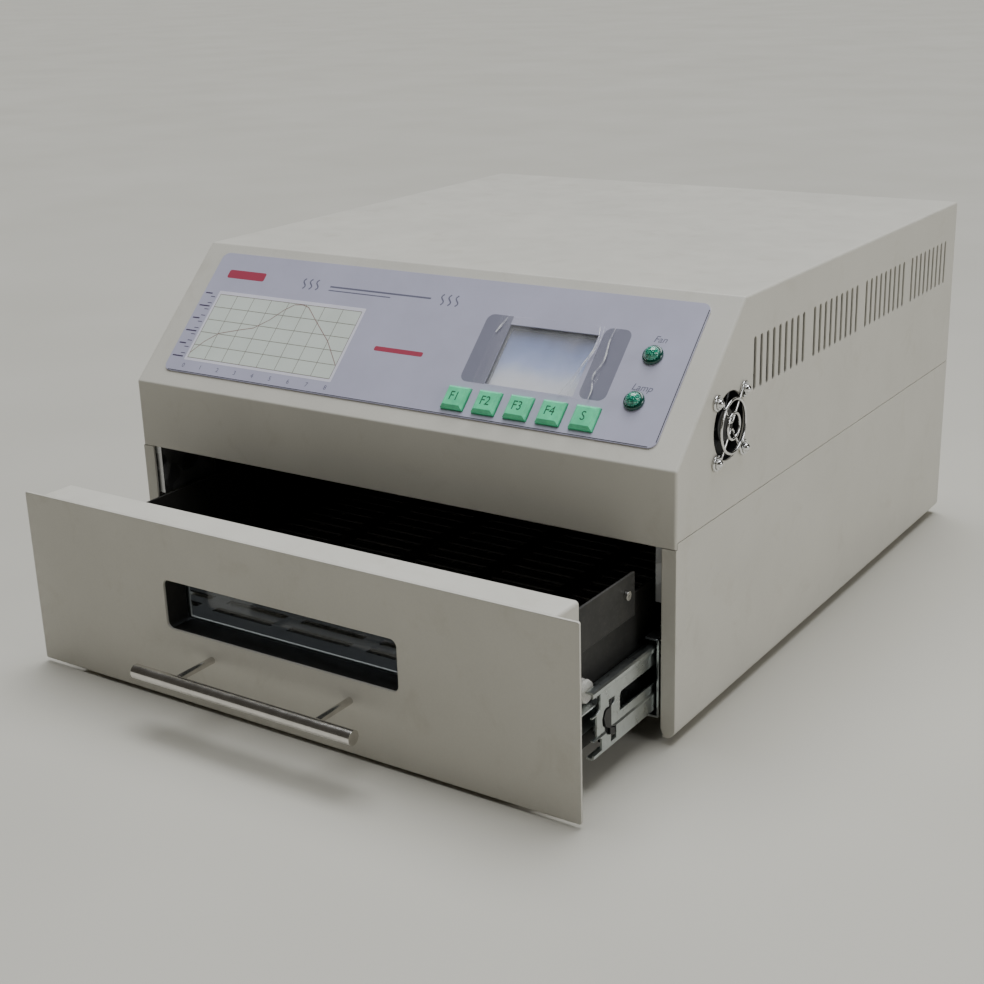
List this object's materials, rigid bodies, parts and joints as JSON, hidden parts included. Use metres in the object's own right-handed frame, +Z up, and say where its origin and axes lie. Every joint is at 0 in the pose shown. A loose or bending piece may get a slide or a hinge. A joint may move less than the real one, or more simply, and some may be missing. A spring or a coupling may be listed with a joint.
{
  "type": "reflow oven",
  "caption": "Bench-top reflow oven: sheet-metal casing with a sloping keypad and display panel, side fan, and a slide-out tray drawer with a window and bar handle.",
  "frame": {"origin": "bottom centre of the whole object's box, on the plane the feet rest on, with the drawer part open", "axes": "+X to the right seen from the front, +Y to the back, +Z up"},
  "size_m": [0.3765, 0.5425, 0.224],
  "materials": {
    "casing_paint": "textured satin",
    "galvanised": "galvanised",
    "black_paint": "matt heat-resistant",
    "polished": "polished",
    "rubber": "matt",
    "chrome": "bright",
    "steel_screw": "satin",
    "label_film": "printed satin",
    "clear": "clear",
    "pane": "tinted",
    "circuit": "solder resist",
    "lcd": "satin",
    "green_key": "satin",
    "green_lamp": "clear tinted",
    "black_plastic": "satin",
    "quartz": "clear",
    "ceramic": "unglazed",
    "fibre": "woven fibre",
    "slide_steel": "zinc",
    "rocker_black": "satin"
  },
  "bodies": {
    "casing": {"base_shell": "casing_paint", "cover_shell": "casing_paint", "rear_panel": "casing_paint", "feet": "rubber", "case_screws": "steel_screw", "front_brackets": "galvanised", "slide_mounts": "galvanised", "chamber_liner": "black_paint", "heater_reflector": "polished", "insulation_blanket": "fibre", "tube_rails": "galvanised", "heater_tubes": "quartz", "tube_caps": "ceramic", "thermocouple": "steel_screw", "control_label": "label_film", "display_lens": "clear", "display_film": "clear", "lcd_module": "lcd", "control_board": "circuit", "indicator_lamps": "green_lamp", "power_board": "circuit", "side_fan_frame": "black_plastic", "side_fan_guard": "chrome", "exhaust_fan_frame": "black_plastic", "exhaust_fan_guard": "chrome", "fan_screws": "chrome", "mains_inlet": "black_plastic", "switch_frame": "black_plastic", "slide_outer_left": "slide_steel", "slide_outer_right": "slide_steel"},
    "side_rotor": {"side_fan_rotor": "black_plastic"},
    "exhaust_rotor": {"exhaust_fan_rotor": "black_plastic"},
    "rocker": {"switch_rocker": "rocker_black"},
    "key_f1_cap": {"key_f1": "green_key"},
    "key_f2_cap": {"key_f2": "green_key"},
    "key_f3_cap": {"key_f3": "green_key"},
    "key_f4_cap": {"key_f4": "green_key"},
    "key_s_cap": {"key_s": "green_key"},
    "middle_left": {"slide_middle_left": "slide_steel", "slide_clip_left": "black_plastic"},
    "middle_right": {"slide_middle_right": "slide_steel", "slide_clip_right": "black_plastic"},
    "ball_cage_outer_left": {"cage_outer_left": "steel_screw"},
    "ball_cage_outer_right": {"cage_outer_right": "steel_screw"},
    "ball_cage_inner_left": {"cage_inner_left": "steel_screw"},
    "ball_cage_inner_right": {"cage_inner_right": "steel_screw"},
    "drawer": {"front_plate": "casing_paint", "front_box": "casing_paint", "window_frame": "black_paint", "window_glass": "pane", "handle_bar": "chrome", "handle_posts": "chrome", "slotted_tray": "black_paint", "drawer_side_left": "black_paint", "drawer_side_right": "black_paint", "slide_inner_left": "slide_steel", "slide_inner_right": "slide_steel", "side_bracket": "black_paint", "drawer_screws": "steel_screw", "insulation_rolls": "fibre"}
  },
  "joints": [
    {"name": "drawer_slide", "type": "slide", "parent": "casing", "child": "drawer", "axis": [0, -1, 0], "range_m": [-0.093, 0.207]},
    {"name": "middle_left_slide", "type": "slide", "parent": "casing", "child": "middle_left", "axis": [0, -1, 0], "range_m": [-0.06324, 0.14076]},
    {"name": "cage_outer_left_slide", "type": "slide", "parent": "casing", "child": "ball_cage_outer_left", "axis": [0, -1, 0], "range_m": [-0.03162, 0.07038]},
    {"name": "cage_inner_left_slide", "type": "slide", "parent": "casing", "child": "ball_cage_inner_left", "axis": [0, -1, 0], "range_m": [-0.07812, 0.17388]},
    {"name": "middle_right_slide", "type": "slide", "parent": "casing", "child": "middle_right", "axis": [0, -1, 0], "range_m": [-0.06324, 0.14076]},
    {"name": "cage_outer_right_slide", "type": "slide", "parent": "casing", "child": "ball_cage_outer_right", "axis": [0, -1, 0], "range_m": [-0.03162, 0.07038]},
    {"name": "cage_inner_right_slide", "type": "slide", "parent": "casing", "child": "ball_cage_inner_right", "axis": [0, -1, 0], "range_m": [-0.07812, 0.17388]},
    {"name": "key_f1_press", "type": "slide", "parent": "casing", "child": "key_f1_cap", "axis": [0, 0.6927, -0.7212], "range_m": [0, 0.0009], "stiffness_N_per_m": 600},
    {"name": "key_f2_press", "type": "slide", "parent": "casing", "child": "key_f2_cap", "axis": [0, 0.6927, -0.7212], "range_m": [0, 0.0009], "stiffness_N_per_m": 600},
    {"name": "key_f3_press", "type": "slide", "parent": "casing", "child": "key_f3_cap", "axis": [0, 0.6927, -0.7212], "range_m": [0, 0.0009], "stiffness_N_per_m": 600},
    {"name": "key_f4_press", "type": "slide", "parent": "casing", "child": "key_f4_cap", "axis": [0, 0.6927, -0.7212], "range_m": [0, 0.0009], "stiffness_N_per_m": 600},
    {"name": "key_s_press", "type": "slide", "parent": "casing", "child": "key_s_cap", "axis": [0, 0.6927, -0.7212], "range_m": [0, 0.0009], "stiffness_N_per_m": 600},
    {"name": "side_fan_spin", "type": "hinge", "parent": "casing", "child": "side_rotor", "pos_m": [0.1795, -0.08275, 0.1596], "axis": [1, 0, 0], "continuous": true},
    {"name": "exhaust_fan_spin", "type": "hinge", "parent": "casing", "child": "exhaust_rotor", "pos_m": [0, 0.25375, 0.13], "axis": [0, 1, 0], "continuous": true},
    {"name": "power_rocker", "type": "hinge", "parent": "casing", "child": "rocker", "pos_m": [-0.085, 0.26675, 0.05], "axis": [1, 0, 0], "range_deg": [0, 14]}
  ],
  "couplings": [
    {"joint": "middle_left_slide", "follows": "drawer_slide", "ratio": 0.68},
    {"joint": "cage_outer_left_slide", "follows": "drawer_slide", "ratio": 0.34},
    {"joint": "cage_inner_left_slide", "follows": "drawer_slide", "ratio": 0.84},
    {"joint": "middle_right_slide", "follows": "drawer_slide", "ratio": 0.68},
    {"joint": "cage_outer_right_slide", "follows": "drawer_slide", "ratio": 0.34},
    {"joint": "cage_inner_right_slide", "follows": "drawer_slide", "ratio": 0.84}
  ]
}
